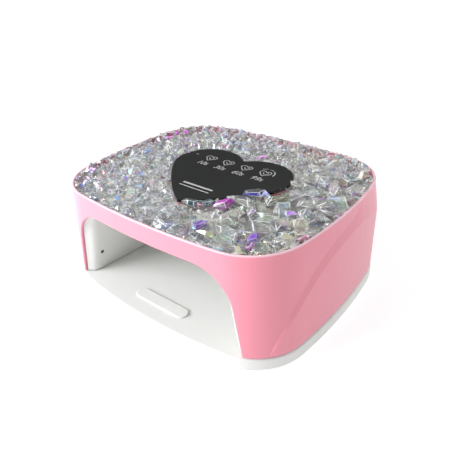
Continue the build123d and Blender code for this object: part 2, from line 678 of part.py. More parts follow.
# ---------------------------------------------------------------- assembly
def all_parts():
    chunks = scatter_crystals()
    parts = {
        "outer_shell": outer_shell(),
        "crystal_bed": crystal_bed(),
        "small_crystals": chunks["small"],
        "large_crystals": chunks["large"],
        "heart_panel": heart_panel(),
        "panel_glue": panel_glue(),
        "light_baffle": light_baffle(),
        "control_board": control_board(),
        "control_chips": control_chips(),
        "power_capacitors": capacitors(),
        "power_inductors": inductors(),
        "buzzer": Pos(36, -10) * cylinder_up(4.5, PCB_TOP, PCB_TOP + 4.6),
        "icon_leds": [Pos(x, ICON_Y) * block(3.2, 2.8, PCB_TOP, PCB_TOP + 1.9) for x in ICON_XS],
        "touch_springs": [Pos(x, ICON_Y) * touch_spring() for x in ICON_XS],
        "digit_display": Pos(0, DISPLAY_Y) * block(24, 14, 89, PLINTH_TOP - 0.1),
        "display_pins": at(DISPLAY_PINS, 0, cylinder_up(0.3, PCB_TOP, 89)),
        "wire_headers": headers(),
        "power_header": Pos(0, 32.7) * block(9, 4.4, PCB_TOP, 87.6),
        "board_link_header": Pos(0, 8) * block(12, 5, 72 + BOARD_OUT + BOARD_THICK, PCB_LOW),
        "control_board_screws": at(PCB_HOLES, PCB_LOW, Rot(180, 0, 0) * pan_screw(1.0, 6, 2.2, SCREW_HEAD)),
        "inner_liner": inner_liner(),
        "ir_emitter": sensor(1),
        "ir_receiver": sensor(-1),
        "sensor_boards": sensor_boards(),
        "dc_jack": jack_body(),
        "dc_jack_pin": jack_pin(),
        "dc_jack_nut": jack_nut(),
        "power_leads": wires(0.9, 9, *power_lead_routes()),
        "led_leads": wires(0.8, 6, *led_lead_routes()),
        "housing_screws": at(SHELL_SCREWS, SHELL_BOTTOM + 2, Rot(180, 0, 0) * pan_screw(1.3, 15, 3.0, 1.5)),
        "housing_magnets": at(MAGNET_SPOTS, SHELL_BOTTOM, cylinder_up(MAGNET_R, 0, MAGNET_H)),
        "base_tray": base_tray(),
        "tray_magnets": at(MAGNET_SPOTS, STAND_TOP - MAGNET_H, cylinder_up(MAGNET_R, 0, MAGNET_H)),
        "rubber_feet": at(FOOT_SPOTS, 0, rubber_foot()),
    }
    screw = pan_screw(1.0, 4.4, 2.2, SCREW_HEAD)
    lead_out = BOARD_OUT + BOARD_THICK
    screws = []
    for wall in LIGHT_WALLS:
        spots = light_spots(wall)
        parts[f"led_board_{wall}"] = led_board(wall)
        parts[f"led_chips_{wall}"] = group_of(led_chip(), spots)
        parts[f"led_lenses_{wall}"] = group_of(led_lens(), spots)
        screws += [spot * Pos(0, 0, lead_out) * screw for spot in board_holes(wall)]
    parts["led_board_screws"] = screws
    return parts


def main():
    os.makedirs("parts", exist_ok=True)
    for name, shape in all_parts().items():
        if isinstance(shape, list):
            shape = Compound(children=shape)
        shape.label = name
        export_step(shape, f"parts/{name}.step")


main()
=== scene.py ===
import json
import math
import random

import bmesh
import bpy
import numpy as np
from mathutils import Matrix, Vector


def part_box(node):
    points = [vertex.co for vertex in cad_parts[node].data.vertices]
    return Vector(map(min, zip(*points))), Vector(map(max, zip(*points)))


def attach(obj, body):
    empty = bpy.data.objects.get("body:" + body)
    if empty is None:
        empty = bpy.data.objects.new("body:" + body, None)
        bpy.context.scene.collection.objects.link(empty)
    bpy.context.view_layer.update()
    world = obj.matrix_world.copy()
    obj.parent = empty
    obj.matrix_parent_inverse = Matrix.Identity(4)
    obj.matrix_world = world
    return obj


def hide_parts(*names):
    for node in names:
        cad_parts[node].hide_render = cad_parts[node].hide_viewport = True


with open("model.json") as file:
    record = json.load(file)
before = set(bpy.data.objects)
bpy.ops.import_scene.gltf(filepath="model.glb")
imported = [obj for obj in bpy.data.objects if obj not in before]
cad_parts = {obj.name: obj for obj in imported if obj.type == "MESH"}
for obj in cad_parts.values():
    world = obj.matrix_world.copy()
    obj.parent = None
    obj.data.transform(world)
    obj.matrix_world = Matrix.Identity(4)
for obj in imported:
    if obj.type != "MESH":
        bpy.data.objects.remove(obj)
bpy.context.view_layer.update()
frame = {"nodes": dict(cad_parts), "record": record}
HOUSING = "housing"
MM = 0.001

# ---------------------------------------------------------------- places taken from the frame
PANEL_LOW, PANEL_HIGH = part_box("heart_panel")
_, BED_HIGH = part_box("crystal_bed")
_, SHELL_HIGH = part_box("outer_shell")
_, CHUNK_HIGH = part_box("large_crystals")
PANEL_TOP = PANEL_HIGH.z
RESIN_TOP = BED_HIGH.z
RIM_TOP = SHELL_HIGH.z
PRINT_LEVEL = PANEL_TOP + 0.04 * MM

# the well's outline inside the rim: half width, half depth, front bow, side bow, corner
WELL = (BED_HIGH.x, BED_HIGH.y, 0.650, 0.365, 0.0468)
# the heart's outline: lobe centre and radius, notch, tip, radius of the bowed lower side
HEART_LOBE = (0.0283, 0.0143, 0.0312)
HEART_NOTCH = 0.034
HEART_TIP = PANEL_LOW.y
HEART_SIDE_R = 0.190
ICON_Y = 0.0225
ICON_XS = (-0.0305, -0.0102, 0.0102, 0.0305)
# a place lies AWAY_Y * y - AWAY_X * x behind the middle, along the level line of sight
AWAY_Y, AWAY_X = 0.766, 0.643

# painted highlight along the top of the rim: where the paler band starts and is full, and its colour
RIM_HIGHLIGHT_BAND = (RIM_TOP - 1.1 * MM, RIM_TOP - 0.3 * MM)
RIM_HIGHLIGHT_PINK = (0.95, 0.68, 0.76)
WHITE = (1, 1, 1)


# ---------------------------------------------------------------- node helpers
def new_material(name):
    material = bpy.data.materials.new(name)
    material.use_nodes = True
    tree = material.node_tree
    return material, tree, tree.nodes["Principled BSDF"]


def add(tree, kind, **values):
    """Adds a node; values are its settings, or its inputs where it has one of that name."""
    node = tree.nodes.new(kind)
    for key, value in values.items():
        if key.replace("_", " ") in node.inputs:
            node.inputs[key.replace("_", " ")].default_value = value
        else:
            setattr(node, key, value)
    return node


def noise(tree, scale, detail=3.0, roughness=0.5):
    place = add(tree, "ShaderNodeTexCoord")
    node = add(tree, "ShaderNodeTexNoise", Scale=scale, Detail=detail, Roughness=roughness)
    tree.links.new(place.outputs["Object"], node.inputs["Vector"])
    return node


def ramp(tree, source, low, high, start=0.0, end=1.0):
    """Maps a value from start-end to low-high, and holds it there outside."""
    node = add(tree, "ShaderNodeMapRange", clamp=True)
    node.inputs["From Min"].default_value = start
    node.inputs["From Max"].default_value = end
    node.inputs["To Min"].default_value = low
    node.inputs["To Max"].default_value = high
    tree.links.new(source, node.inputs["Value"])
    return node.outputs["Result"]


def mix_colour(tree, share, first, second):
    node = add(tree, "ShaderNodeMix", data_type="RGBA")
    for socket, value in ((node.inputs[6], first), (node.inputs[7], second)):
        if isinstance(value, bpy.types.NodeSocket):
            tree.links.new(value, socket)
        else:
            socket.default_value = (*value, 1)
    tree.links.new(share, node.inputs["Factor"])
    return node.outputs[2]


def bump(tree, shader, height, strength, distance):
    """Fine relief in the surface, on top of the mesh."""
    node = add(tree, "ShaderNodeBump", Strength=strength, Distance=distance)
    tree.links.new(height, node.inputs["Height"])
    tree.links.new(node.outputs["Normal"], shader.inputs["Normal"])


# ---------------------------------------------------------------- materials
def moulded(name, colour, shade, roughness, grain_scale, grain, coat=0.0):
    """Moulded plastic: broad faint shade changes, fine grain in the gloss and the surface."""
    material, tree, shader = new_material(name)
    broad = noise(tree, 14, 2)
    tree.links.new(mix_colour(tree, broad.outputs["Fac"], colour, shade), shader.inputs["Base Color"])
    fine = noise(tree, grain_scale, 4)
    tree.links.new(ramp(tree, fine.outputs["Fac"], *roughness, 0.3, 0.7), shader.inputs["Roughness"])
    bump(tree, shader, fine.outputs["Fac"], grain, 0.0002)
    shader.inputs["Coat Weight"].default_value = coat
    shader.inputs["Coat Roughness"].default_value = 0.08
    return material


def shell_plastic(name, colour, shade, roughness):
    """Satin moulded plastic, with a painted highlight: paler pink along the top of the rim."""
    material = moulded(name, colour, shade, roughness, 1400, 0.03, 0.1)
    tree = material.node_tree
    shader = tree.nodes["Principled BSDF"]
    place = add(tree, "ShaderNodeTexCoord")
    split = add(tree, "ShaderNodeSeparateXYZ")
    tree.links.new(place.outputs["Object"], split.inputs[0])
    # painted highlight: the colour turns paler pink towards the top of the rim
    share = ramp(tree, split.outputs["Z"], 0.0, 0.75, *RIM_HIGHLIGHT_BAND)
    body = shader.inputs["Base Color"].links[0].from_socket
    tree.links.new(mix_colour(tree, share, body, RIM_HIGHLIGHT_PINK), shader.inputs["Base Color"])
    return material


def metal(name, colour, shade, roughness, scale=300):
    material, tree, shader = new_material(name)
    shader.inputs["Metallic"].default_value = 1.0
    spots = noise(tree, scale, 3)
    tree.links.new(mix_colour(tree, spots.outputs["Fac"], colour, shade), shader.inputs["Base Color"])
    tree.links.new(ramp(tree, spots.outputs["Fac"], *roughness, 0.3, 0.7), shader.inputs["Roughness"])
    return material


def clear(name, colour, roughness, scale):
    """Clear moulded or cast resin."""
    material, tree, shader = new_material(name)
    shader.inputs["Transmission Weight"].default_value = 1.0
    shader.inputs["IOR"].default_value = 1.49
    haze = noise(tree, scale, 3)
    tree.links.new(mix_colour(tree, haze.outputs["Fac"], colour, WHITE), shader.inputs["Base Color"])
    tree.links.new(ramp(tree, haze.outputs["Fac"], *roughness, 0.3, 0.7), shader.inputs["Roughness"])
    return material


def resin_bed():
    """Silvery glitter sheet under the crystals, seen in the gaps between them."""
    material, tree, shader = new_material("resin_bed")
    place = add(tree, "ShaderNodeTexCoord")
    flakes = add(tree, "ShaderNodeTexVoronoi", Scale=900.0)
    tree.links.new(place.outputs["Object"], flakes.inputs["Vector"])
    colour = mix_colour(tree, flakes.outputs["Color"], (0.66, 0.66, 0.60), (0.93, 0.93, 0.86))
    tree.links.new(colour, shader.inputs["Base Color"])
    tree.links.new(ramp(tree, flakes.outputs["Distance"], 0.15, 0.5), shader.inputs["Roughness"])
    shader.inputs["Metallic"].default_value = 0.2
    bump(tree, shader, flakes.outputs["Distance"], 0.6, 0.0004)
    return material


def crystal_body():
    """Clear chip with an iridescent film, whose thickness changes from chip to chip."""
    material, tree, shader = new_material("crystal_clear")
    tint = add(tree, "ShaderNodeAttribute", attribute_name="tint")
    film = add(tree, "ShaderNodeAttribute", attribute_name="film")
    tree.links.new(tint.outputs["Color"], shader.inputs["Base Color"])
    tree.links.new(film.outputs["Fac"], shader.inputs["Thin Film Thickness"])
    shader.inputs["Thin Film IOR"].default_value = 1.5
    shader.inputs["Transmission Weight"].default_value = 0.87
    shader.inputs["IOR"].default_value = 1.14
    shader.inputs["Coat Weight"].default_value = 1.0
    shader.inputs["Coat IOR"].default_value = 1.55
    shader.inputs["Coat Roughness"].default_value = 0.08
    fine = noise(tree, 500, 2)
    tree.links.new(ramp(tree, fine.outputs["Fac"], 0.02, 0.10, 0.35, 0.7), shader.inputs["Roughness"])
    return material


def crystal_glint():
    """Mirror-like film on some facets, with a painted reflection: a fixed tint stands in for the colour
    that the film reflects.
    """
    material, tree, shader = new_material("crystal_glint")
    tint = add(tree, "ShaderNodeAttribute", attribute_name="tint")
    fine = noise(tree, 350, 2)
    spread = ramp(tree, fine.outputs["Fac"], 0.0, 0.35, 0.45, 0.75)
    colour = mix_colour(tree, spread, tint.outputs["Color"], (0.95, 0.95, 0.97))
    tree.links.new(colour, shader.inputs["Base Color"])
    shader.inputs["Metallic"].default_value = 0.4
    tree.links.new(ramp(tree, fine.outputs["Fac"], 0.06, 0.22, 0.3, 0.7), shader.inputs["Roughness"])
    shader.inputs["Coat Weight"].default_value = 1.0
    shader.inputs["Coat Roughness"].default_value = 0.03
    return material


def crystal_edge():
    """Narrow broken edges, painted pale: a whitish, partly opaque colour stands in for the highlights that
    the edges catch.
    """
    material, tree, shader = new_material("crystal_edge")
    fine = noise(tree, 400, 2)
    # painted highlight: whitish colour on the bevel faces, clear in some broad patches and opaque in
    # others
    edge = mix_colour(tree, fine.outputs["Fac"], (0.80, 0.81, 0.80), (0.97, 0.97, 0.97))
    tree.links.new(edge, shader.inputs["Base Color"])
    tree.links.new(ramp(tree, fine.outputs["Fac"], 0.1, 0.35), shader.inputs["Roughness"])
    broad = noise(tree, 110, 1)
    clearness = ramp(tree, broad.outputs["Fac"], 0.92, 0.0, 0.38, 0.56)
    tree.links.new(clearness, shader.inputs["Transmission Weight"])
    shader.inputs["IOR"].default_value = 1.3
    return material


# ---------------------------------------------------------------- outlines
def meet(a, ra, b, rb, side):
    """Point at ra from a and rb from b, on one side of the line between them."""
    gap = math.hypot(b[0] - a[0], b[1] - a[1])
    along = (gap * gap + ra * ra - rb * rb) / (2 * gap)
    off = side * math.sqrt(ra * ra - along * along)
    ux, uy = (b[0] - a[0]) / gap, (b[1] - a[1]) / gap
    return a[0] + ux * along - uy * off, a[1] + uy * along + ux * off


def well_depth(x, y):
    """How far inside the rim a point is."""
    half_x, half_y, front_r, side_r, corner_r = WELL
    x, y = abs(x), abs(y)
    cx, cy = meet((0, half_y - front_r), front_r - corner_r, (half_x - side_r, 0), side_r - corner_r, -1)
    depth = min(front_r - math.hypot(x, y + front_r - half_y), side_r - math.hypot(x + side_r - half_x, y))
    if x > cx and y > cy:
        depth = min(depth, corner_r - math.hypot(x - cx, y - cy))
    return depth


def heart_depth(x, y):
    """How far inside the heart's outline a point is; negative outside."""
    x = abs(x)
    lx, ly, lobe_r = HEART_LOBE
    drop = ly + lobe_r - HEART_NOTCH
    notch_r = (lx * lx + drop * drop) / (2 * drop)
    side = meet((lx, ly), HEART_SIDE_R - lobe_r, (0, HEART_TIP), HEART_SIDE_R, -1)
    in_lobe = lobe_r - math.hypot(x - lx, y - ly)
    in_side = HEART_SIDE_R - math.hypot(x - side[0], y - side[1])
    level = ly + lobe_r - notch_r
    in_notch = notch_r - math.hypot(x - lx, y - level)
    leave = math.atan2(ly - side[1], lx - side[0])
    angle = math.atan2(y - ly, x - lx)
    if x >= lx:
        return in_lobe if angle > leave else in_side
    return min(in_side, in_notch) if y > level else in_side


# ---------------------------------------------------------------- crystals
# painted reflections: fixed colours that stand in for what the coated facets reflect
GLINTS = (
    (0.50, 0.22, 0.80),
    (0.75, 0.30, 0.72),
    (0.28, 0.34, 0.80),
    (0.30, 0.50, 0.78),
    (0.30, 0.52, 0.55),
    (0.85, 0.80, 0.55),
    (0.88, 0.50, 0.62),
    (0.95, 0.95, 0.90),
)
# near-clear tints of the other facets: cooler on the left, warmer on the right
LEFT_GREYS = (
    (0.99, 0.99, 0.97),
    (0.96, 0.97, 0.94),
    (0.93, 0.94, 1.0),
    (0.97, 0.93, 0.99),
    (0.92, 0.95, 1.0),
)
RIGHT_GREYS = (
    (0.99, 0.99, 0.95),
    (0.96, 0.96, 0.91),
    (0.98, 0.96, 0.91),
    (0.95, 0.97, 0.97),
    (0.98, 0.94, 0.98),
)
LEFT_ENDS = 0.01  # x where the cooler tints end
MAGENTA, VIOLET, DEEP_BLUE = (0.80, 0.08, 0.80), (0.30, 0.09, 0.75), (0.03, 0.03, 0.32)
SKY, TEAL, CREAM, ROSE = (0.16, 0.36, 0.85), (0.03, 0.09, 0.12), (0.95, 0.93, 0.60), (0.90, 0.25, 0.55)
OLIVE = (0.30, 0.28, 0.17)
# chips with a painted reflection of a strong colour on their coated facets: x, y, height over the rim,
# length, turn, tint (millimetres, degrees)
ACCENTS = (
    (-101, 39, 3.4, 15, 100, MAGENTA),
    (-101, 52, 3.6, 16, 85, MAGENTA),
    (-94, 61, 3.6, 14, 25, MAGENTA),
    (-80, 44, 1.6, 9, 60, VIOLET),
    (-93, 1, 2.6, 15, 109, SKY),
    (-84, -6, 1.5, 11, 80, TEAL),
    (-65, -53, 1.2, 9, 10, VIOLET),
    (-41, -83, 1.6, 16, 95, SKY),
    (-57, 72, 1.6, 10, 70, VIOLET),
    (8, 49, 1.5, 12, 30, MAGENTA),
    (36, 58, 1.5, 11, 120, CREAM),
    (93, 68, 1.2, 10, 120, VIOLET),
    (14, -54, 2.8, 18, 20, TEAL),
    (25, -49, 2.8, 16, 40, TEAL),
    (38, -44, 5.0, 20, 45, MAGENTA),
    (46, -14, 5.0, 25, 49, DEEP_BLUE),
    (68, -14, 4.6, 26, 70, OLIVE),
    (84, -70, 2.6, 16, 80, VIOLET),
    (89, -80, 2.2, 8, 60, MAGENTA),
    (111, -49, 1.2, 10, 60, ROSE),
    (52, -82, 2.2, 15, 10, CREAM),
    (85, -87, 1.8, 13, 150, CREAM),
    (42, -76, 2.6, 15, 80, VIOLET),
)
# layers of chips in metres: size, least spacing, depth below the top of the heap
SMALL_LAYERS = (
    (0.0110, 0.0084, 0.0048),
    (0.0100, 0.0070, 0.0030),
    (0.0092, 0.0062, 0.0014),
)
# the same for the plates, and how far they may lie over the heart's edge
LARGE_LAYERS = (
    (0.032, 0.0210, 0.0050, 0.0),
    (0.027, 0.0180, 0.0012, 0.002),
    (0.018, 0.0155, -0.0004, 0.002),
)
UPPER_SINK = 0.002  # layers less deep than this leave the strongly coloured chips in view
SMALL_BEVEL, PLATE_BEVEL = 0.025, 0.020
FILM_NM = (220, 520)  # thickness of the iridescent film, in nanometres
# material slots of a heap
CLEAR, GLINT, EDGE = 0, 1, 2
# chips keep their corners this far inside the rim; nearer than OVER_RIM, a corner lies over it
RIM_GAP, OVER_RIM = 0.0004, 0.0002


def hull(points, bevel):
    """Convex hull of some points with narrow bevels: vertices, faces and which faces are bevels."""
    mesh = bmesh.new()
    for point in points:
        mesh.verts.new(point)
    result = bmesh.ops.convex_hull(mesh, input=mesh.verts)
    spare = result["geom_interior"] + result["geom_unused"]
    loose = [v for v in spare if isinstance(v, bmesh.types.BMVert)]
    bmesh.ops.delete(mesh, geom=list(set(loose)), context="VERTS")
    bmesh.ops.dissolve_limit(mesh, angle_limit=math.radians(8), verts=mesh.verts, edges=mesh.edges)
    mark = mesh.faces.layers.int.new("bevel")
    made = bmesh.ops.bevel(
        mesh, geom=mesh.edges[:], offset=bevel, segments=1, affect="EDGES", clamp_overlap=True
    )
    for face in made["faces"]:
        face[mark] = 1
    mesh.verts.index_update()
    vertices = np.array([v.co[:] for v in mesh.verts])
    faces = [[v.index for v in f.verts] for f in mesh.faces]
    bevels = [f[mark] for f in mesh.faces]
    mesh.free()
    return vertices, faces, bevels


def chip_shape(rng):
    """Irregular lump of broken glass about one unit across."""
    points = []
    for _ in range(rng.randint(7, 10)):
        direction = Vector((rng.gauss(0, 1), rng.gauss(0, 1), rng.gauss(0, 1))).normalized()
        points.append(direction * rng.uniform(0.40, 0.52))
    return hull(points, SMALL_BEVEL)


def plate_shape(rng):
    """Broken plate: an uneven outline below, a smaller and tilted face above, slanting sides."""
    sides = rng.randint(4, 6)
    points = []
    lean = Vector((rng.uniform(-0.5, 0.5), rng.uniform(-0.5, 0.5)))
    for i in range(sides):
        angle = math.tau * (i + rng.uniform(-0.25, 0.25)) / sides
        reach = rng.uniform(0.42, 0.56)
        x, y = reach * math.cos(angle), reach * math.sin(angle)
        inner = rng.uniform(0.60, 0.86)
        points.append((x, y, -0.5))
        points.append((x * 1.05, y * 1.05, rng.uniform(-0.3, 0.1)))
        points.append((x * inner, y * inner, 0.35 + lean.x * x + lean.y * y))
    return hull(points, PLATE_BEVEL)


def chip_matrix(rng, place, length, width, thick, tilt, turn=None):
    """Size and pose of one chip, turned about the upright and then tipped at random."""
    stretch = Matrix.Diagonal((length, width, thick, 1))
    lean = Matrix.Rotation(rng.gauss(0, tilt), 4, "X") @ Matrix.Rotation(rng.gauss(0, tilt), 4, "Y")
    spin = Matrix.Rotation(rng.uniform(0, math.tau) if turn is None else turn, 4, "Z")
    return Matrix.Translation(place) @ lean @ spin @ stretch


def keep_in_well(points, centre):
    """Pulls a chip's corners back inside the rim, towards the chip's middle."""
    for point in points:
        while well_depth(point[0], point[1]) < RIM_GAP:
            point[:2] = centre + (point[:2] - centre) * 0.8


def upward(points, face):
    """Whether a face looks up."""
    a, b, c = (Vector(points[i]) for i in face[:3])
    return (b - a).cross(c - b).normalized().z > 0.3


def lid(x, y, tall):
    """Highest that a chip may reach: just over the panel beside the heart, more farther off."""
    rise = 3.4 if tall else 2.2 if in_front_right(x, y) else 0.4
    away = max(0.0, -heart_depth(x, y) - 2.5 * MM)
    return min(CHUNK_HIGH.z - 0.2 * MM, PANEL_TOP + rise * MM + 0.35 * away)


def heap(name, rng, shapes, chips, glint_share, film_share, tone_low, node):
    """One mesh of many chips, given as (pose, tint or None).

    glint_share and film_share are the shares of coated facets, which get a painted glint, and of chips
    with a film;
    tone_low is the darkest that a clear facet gets.
    """
    vertices, faces, tints, films, kinds = [], [], [], [], []
    first = 0
    for matrix, tint in chips:
        stock, stock_faces, bevels = shapes[rng.randrange(len(shapes))]
        local = (np.c_[stock, np.ones(len(stock))] @ np.array(matrix).T)[:, :3]
        centre = matrix.translation[:2]
        local[:, 2] -= max(0.0, local[:, 2].max() - lid(*centre, tint is not None))
        if not at_back_rim(*centre):
            keep_in_well(local, np.array(centre))
        over = [well_depth(x, y) < OVER_RIM for x, y in local[:, :2]]
        local[:, 2] = np.where(over, np.maximum(local[:, 2], RIM_TOP + OVER_RIM), local[:, 2])
        vertices.append(local)
        grey = rng.choice(LEFT_GREYS if centre[0] < LEFT_ENDS else RIGHT_GREYS)
        film = rng.uniform(*FILM_NM) if rng.random() < film_share else 0.0
        for face, bevel in zip(stock_faces, bevels):
            faces.append([first + i for i in face])
            # painted reflection: coated facets get a fixed colour; on the strongly coloured chips mostly
            # the upward ones
            share = glint_share
            if tint:
                share = 0.9 if upward(local, face) else 0.35
            shiny = rng.random() < share
            kinds.append(EDGE if bevel else GLINT if shiny else CLEAR)
            tone = 1.0 if shiny else rng.uniform(tone_low, 1.0)
            colour = (tint or rng.choice(GLINTS)) if shiny else grey
            tints.append((*(tone * part for part in colour), 1))
            films.append(film)
        first += len(stock)
    mesh = bpy.data.meshes.new(name)
    mesh.from_pydata(np.concatenate(vertices).tolist(), [], faces)
    mesh.polygons.foreach_set("material_index", kinds)
    tint_layer = mesh.attributes.new("tint", "FLOAT_COLOR", "FACE")
    tint_layer.data.foreach_set("color", np.array(tints).ravel())
    mesh.attributes.new("film", "FLOAT", "FACE").data.foreach_set("value", films)
    piece = bpy.data.objects.new(name, mesh)
    bpy.context.scene.collection.objects.link(piece)
    for finish in ("crystal_clear", "crystal_glint", "crystal_edge"):
        piece.data.materials.append(MATERIALS[finish])
    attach(piece, HOUSING)
    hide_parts(node)
    return piece


def heap_top(x, y):
    """Height of the heap: level with the rim in front and over it at the back."""
    back = min(1.0, max(0.0, (y - 0.045) / 0.03))
    far = min(1.0, max(0.0, (AWAY_Y * y - AWAY_X * x + 0.02) / 0.06))
    near_rim = min(1.0, max(0.0, 1 - well_depth(x, y) / 0.020))
    return RIM_TOP + MM * (0.3 + 0.5 * back + (0.8 * back + 0.7 * far) * near_rim)


def at_rim(x, y):
    """Where the ring of chips along the inside of the rim lies."""
    return well_depth(x, y) < 0.0042


def in_front(x, y):
    """The near side of the rim, whose inner face looks away from the camera."""
    return AWAY_Y * y + 0.012 < AWAY_X * x


def beside_heart(x, y):
    """Where the ring of chips along the outside of the heart lies."""
    return -0.0044 < heart_depth(x, y) < -0.0014


def at_back_rim(x, y):
    """The strip along the rim at the back, where chips lean over it."""
    return well_depth(x, y) < 0.0034 and y > 0.040 and x < 0.104


def in_front_right(x, y):
    """Where the big plates lie."""
    return 0.77 * x - 0.64 * y > 0.036 and x > 0.008


def scatter(rng, size, count, zone, spacing, over_heart=0.0):
    """Random spots in the well, clear of the heart and not too close to each other."""
    spots, cells = [], {}
    for _ in range(count * 14):
        if len(spots) >= count:
            break
        x, y = rng.uniform(-WELL[0], WELL[0]), rng.uniform(-WELL[1], WELL[1])
        fits = well_depth(x, y) >= size * 0.40 and heart_depth(x, y) <= over_heart - size * 0.55
        if not (fits and zone(x, y)):
            continue
        cell = (int(x // spacing), int(y // spacing))
        around = [(cell[0] + i, cell[1] + j) for i in (-1, 0, 1) for j in (-1, 0, 1)]
        near = [p for c in around for p in cells.get(c, [])]
        if any(math.hypot(x - px, y - py) < spacing for px, py in near):
            continue
        cells.setdefault(cell, []).append((x, y))
        spots.append((x, y))
    return spots


def clear_of_accents(x, y):
    """Whether a spot leaves every chip with a strongly coloured painted reflection in view."""
    return all(math.hypot(x - a[0] * MM, y - a[1] * MM) > 0.60 * a[3] * MM for a in ACCENTS)


def accent_chips(rng, large):
    """The chips with a strongly coloured painted reflection that belong to one of the two heaps."""
    chips = []
    for x, y, rise, length, turn, tint in ACCENTS:
        x, y, length = x * MM, y * MM, length * MM
        if in_front_right(x, y) == large:
            place = (x, y, RIM_TOP + rise * MM - 0.12 * length)
            pose = chip_matrix(rng, place, length, length * 0.45, length * 0.30, 0.12, math.radians(turn))
            chips.append((pose, tint))
    return chips


def small_crystals():
    """Layers of small chips all over the well; the upper ones are finer."""
    rng = random.Random(11)
    shapes = [chip_shape(rng) for _ in range(40)]
    chips = []
    for size, spacing, sink in SMALL_LAYERS:
        for x, y in scatter(rng, size, 2400, lambda x, y: True, spacing):
            scale = size * rng.uniform(0.65, 1.3)
            if sink < UPPER_SINK and (in_front_right(x, y) or not clear_of_accents(x, y)):
                continue
            duck = 0.0022 * max(0.0, 1 + heart_depth(x, y) / 0.012)
            z = max(RESIN_TOP + 0.001, heap_top(x, y) - sink - duck + rng.uniform(-1, 1) * MM)
            thick = scale * rng.uniform(0.35, 0.65)
            pose = chip_matrix(rng, (x, y, z), scale * 1.2, scale * 0.85, thick, 0.5)
            chips.append((pose, None))
    edges = scatter(rng, 0.0030, 1100, at_rim, 0.0029)
    edges += scatter(rng, 0.0027, 380, beside_heart, 0.0030)
    for x, y in edges:
        scale = rng.uniform(5.5, 8.5) * MM
        if at_back_rim(x, y):
            rise = rng.uniform(0.6, 1.5)
        else:
            rise = rng.uniform(-0.1, 0.8) - 2.0 * in_front(x, y)
        place = (x, y, RIM_TOP + rise * MM)
        thick = scale * rng.uniform(0.3, 0.5)
        pose = chip_matrix(rng, place, scale * 1.2, scale * 0.85, thick, 0.22)
        chips.append((pose, None))
    chips += accent_chips(rng, False)
    heap("small_crystal_heap", rng, shapes, chips, 0.055, 0.5, 0.92, "small_crystals")


def large_crystals():
    """Plates and chunks in front of the heart and round its right side, piled against it."""
    rng = random.Random(5)
    shapes = [plate_shape(rng) for _ in range(30)]
    chips = []
    for size, spacing, sink, over_heart in LARGE_LAYERS:
        for x, y in scatter(rng, size * 0.7, 120, in_front_right, spacing, over_heart):
            scale = size * rng.uniform(0.75, 1.25)
            if sink < UPPER_SINK and not clear_of_accents(x, y):
                continue
            pile = 0.0022 * max(0.0, 1 + heart_depth(x, y) / 0.018)
            z = heap_top(x, y) - sink + pile + rng.uniform(-0.6, 0.6) * MM
            thick = scale * rng.uniform(0.16, 0.30)
            width = scale * rng.uniform(0.5, 0.85)
            pose = chip_matrix(rng, (x, y, z), scale * 1.1, width, thick, 0.22)
            chips.append((pose, None))
    chips += accent_chips(rng, True)
    heap("large_crystal_heap", rng, shapes, chips, 0.07, 0.6, 0.90, "large_crystals")


# ---------------------------------------------------------------- printed marks on the panel
def printed(name, mesh):
    piece = bpy.data.objects.new(name, mesh)
    bpy.context.scene.collection.objects.link(piece)
    piece.data.materials.append(MATERIALS["white_print"])
    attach(piece, HOUSING)
    return piece


def strip_mesh(name, path, width, closed=False):
    """Flat printed line of a given width along a path on the panel."""
    sides = []
    count = len(path)
    for i in range(count):
        before = path[i - 1] if closed or i else path[i]
        after = path[(i + 1) % count] if closed or i + 1 < count else path[i]
        along = Vector((after[0] - before[0], after[1] - before[1])).normalized()
        across = Vector((-along.y, along.x)) * width / 2
        here = Vector(path[i])
        sides += [(*(here + across), PRINT_LEVEL), (*(here - across), PRINT_LEVEL)]
    steps = range(count if closed else count - 1)
    ends = 2 * count
    faces = [(2 * i, 2 * i + 1, (2 * i + 3) % ends, (2 * i + 2) % ends) for i in steps]
    mesh = bpy.data.meshes.new(name)
    mesh.from_pydata(sides, [], faces)
    return mesh


def small_heart(cx, cy, size, count=32, start=0.0, end=1.0):
    """Heart curve round a centre, or a share of it; size is its full width."""
    points = []
    for i in range(count):
        t = math.tau * (start + (end - start) * i / count)
        x = 0.86 * math.sin(t) ** 3 + 0.14 * math.sin(t)
        y = 13 * math.cos(t) - 4.4 * math.cos(2 * t) - 1.6 * math.cos(3 * t) - 0.6 * math.cos(4 * t)
        y /= 15.5
        points.append((cx + x * size / 2, cy + (y + 0.06) * size / 2))
    return points


def label(name, text, x, y, height):
    """Slanted number, turned into a flat mesh."""
    font = bpy.data.curves.new(name, "FONT")
    font.body = text
    font.size = height
    font.shear = 0.25
    font.align_x = font.align_y = "CENTER"
    font.resolution_u = 4
    maker = bpy.data.objects.new(name + "_maker", font)
    mesh = bpy.data.meshes.new_from_object(maker)
    bpy.data.objects.remove(maker)
    bpy.data.curves.remove(font)
    mesh.transform(Matrix.Translation((x, y, PRINT_LEVEL)))
    mesh.name = name
    return printed(name, mesh)


def arc_strip(name, centre, reach, first, last, width):
    """Printed arc round a point; angles in degrees."""
    steps = [math.radians(first + (last - first) * i / 8) for i in range(9)]
    path = [(centre[0] + reach * math.cos(a), centre[1] + reach * math.sin(a)) for a in steps]
    return printed(name, strip_mesh(name, path, width))


